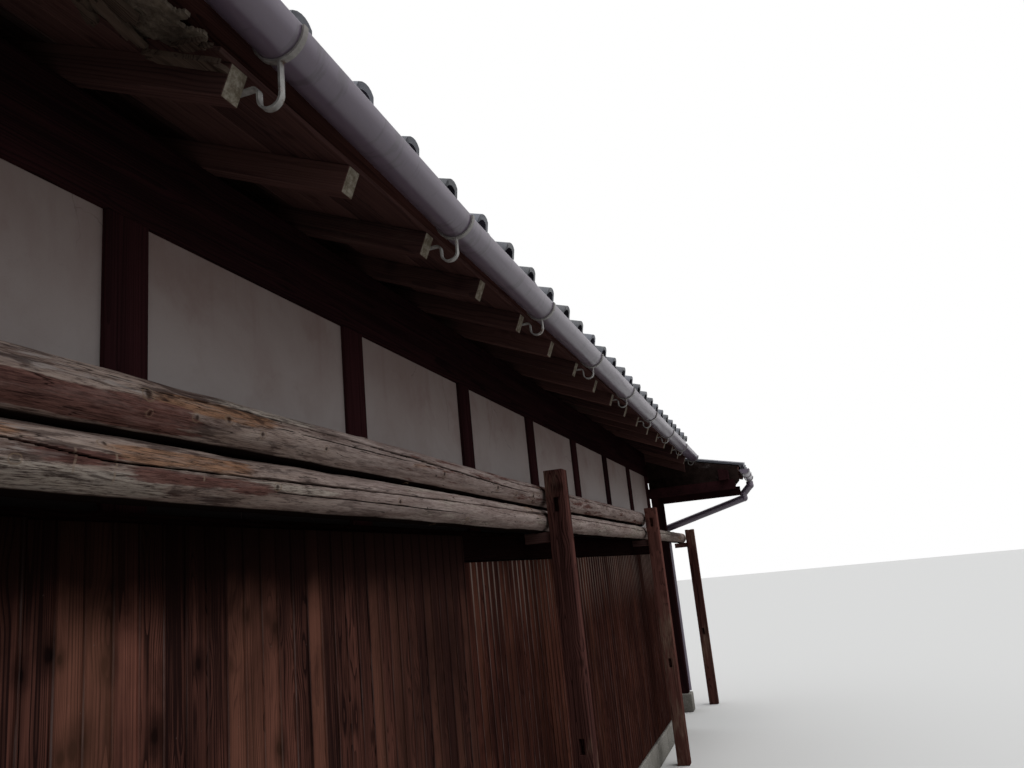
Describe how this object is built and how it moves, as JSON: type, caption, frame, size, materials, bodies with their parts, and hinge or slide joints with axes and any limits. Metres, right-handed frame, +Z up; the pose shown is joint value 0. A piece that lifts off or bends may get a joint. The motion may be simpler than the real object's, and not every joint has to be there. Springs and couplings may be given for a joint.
{
  "type": "machiya townhouse, street wing with a log rack",
  "caption": "Low timber-framed townhouse wing with plastered upper wall, board cladding, tiled gable roof, hooked gutter, end canopy and a log rack along its front.",
  "frame": {"origin": "on the ground, under the middle of the whole outline", "axes": "+X along the front wall towards the canopy, +Y from the front wall to the back, +Z up"},
  "size_m": [9.4978, 5.5978, 3.9717],
  "materials": {
    "foundation_stone": "rough, split granite",
    "frame_timber": "old dark red-brown stain, matt",
    "clay_plaster": "trowelled plaster, water stained",
    "batten_timber": "sawn, weathered",
    "old_cladding": "weathered cedar boards",
    "new_cladding": "stained cedar boards",
    "rafter_timber": "dark stain with pale cut ends",
    "roof_board_timber": "sawn boards, smoked and stained",
    "clay_bed": "straw clay",
    "roof_tile": "smoked fired clay, dull sheen",
    "gutter_metal": "dark brown satin paint",
    "hook_iron": "dull zinc coat",
    "canopy_timber": "dark, weathered",
    "rack_timber": "old reused timber",
    "log_wood": "peeled, grey-brown, checked"
  },
  "bodies": {
    "root": {"foundation_stones": "foundation_stone", "front_sill": "frame_timber", "back_sill": "frame_timber", "cross_sills": "frame_timber", "front_posts": "frame_timber", "back_posts": "frame_timber", "end_posts": "frame_timber", "front_plate": "frame_timber", "back_plate": "frame_timber", "tie_beams": "frame_timber", "roof_struts": "frame_timber", "purlins": "frame_timber", "ridge_beam": "frame_timber", "front_plaster": "clay_plaster", "back_plaster": "clay_plaster", "party_walls": "clay_plaster", "front_battens": "batten_timber", "back_battens": "batten_timber", "old_boards": "old_cladding", "back_boards": "old_cladding", "new_boards": "new_cladding", "front_rafters": "rafter_timber", "back_rafters": "rafter_timber", "canopy_rafters": "rafter_timber", "roof_deck": "roof_board_timber", "eave_boards": "roof_board_timber", "bargeboards": "roof_board_timber", "canopy_boards": "roof_board_timber", "roof_bed": "clay_bed", "front_tiles": "roof_tile", "back_tiles": "roof_tile", "ridge_tiles": "roof_tile", "ridge_ends": "roof_tile", "canopy_tiles": "roof_tile", "front_gutter": "gutter_metal", "back_gutter": "gutter_metal", "canopy_gutter": "gutter_metal", "downpipe": "gutter_metal", "gutter_hooks": "hook_iron", "canopy_post": "canopy_timber", "canopy_beams": "canopy_timber", "prop_posts": "rack_timber", "rack_arms": "rack_timber", "lower_log": "log_wood", "upper_log": "log_wood"}
  },
  "joints": []
}
